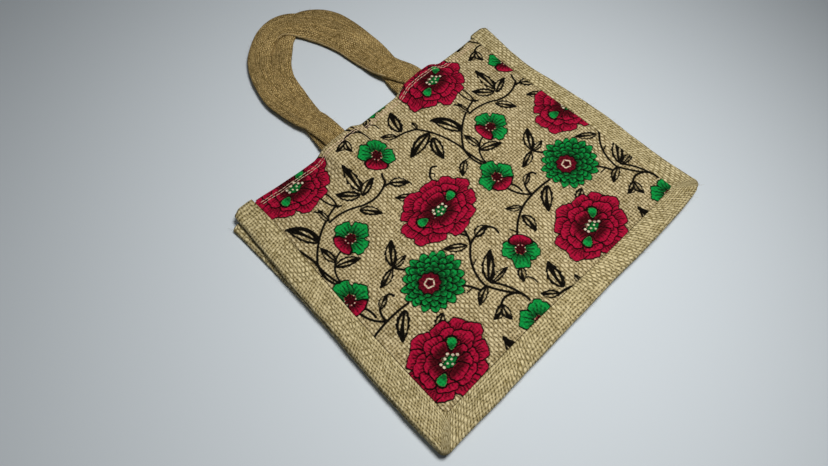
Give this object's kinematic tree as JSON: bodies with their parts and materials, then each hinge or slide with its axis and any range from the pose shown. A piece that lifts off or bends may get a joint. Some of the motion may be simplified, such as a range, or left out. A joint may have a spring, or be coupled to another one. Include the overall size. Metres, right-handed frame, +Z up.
{
  "type": "burlap tote bag",
  "caption": "Small gusseted burlap tote bag with a flower print, lying empty and folded flat on its back, its two padded loop handles spread above the mouth.",
  "frame": {"origin": "middle of the back panel's flat underside, on the surface the bag lies on", "axes": "+X along the mouth to the right, +Y from the bottom edge to the mouth and on along the handles, +Z up from the surface"},
  "size_m": [0.2951, 0.3828, 0.02],
  "materials": {
    "printed_burlap": "matte plain weave with a flower print",
    "burlap": "matte plain weave",
    "strap_burlap": "matte fine plain weave"
  },
  "bodies": {
    "root": {"front_panel": "printed_burlap", "back_panel": "burlap", "gusset": "burlap", "handle_front": "strap_burlap", "handle_back": "strap_burlap"}
  },
  "joints": []
}
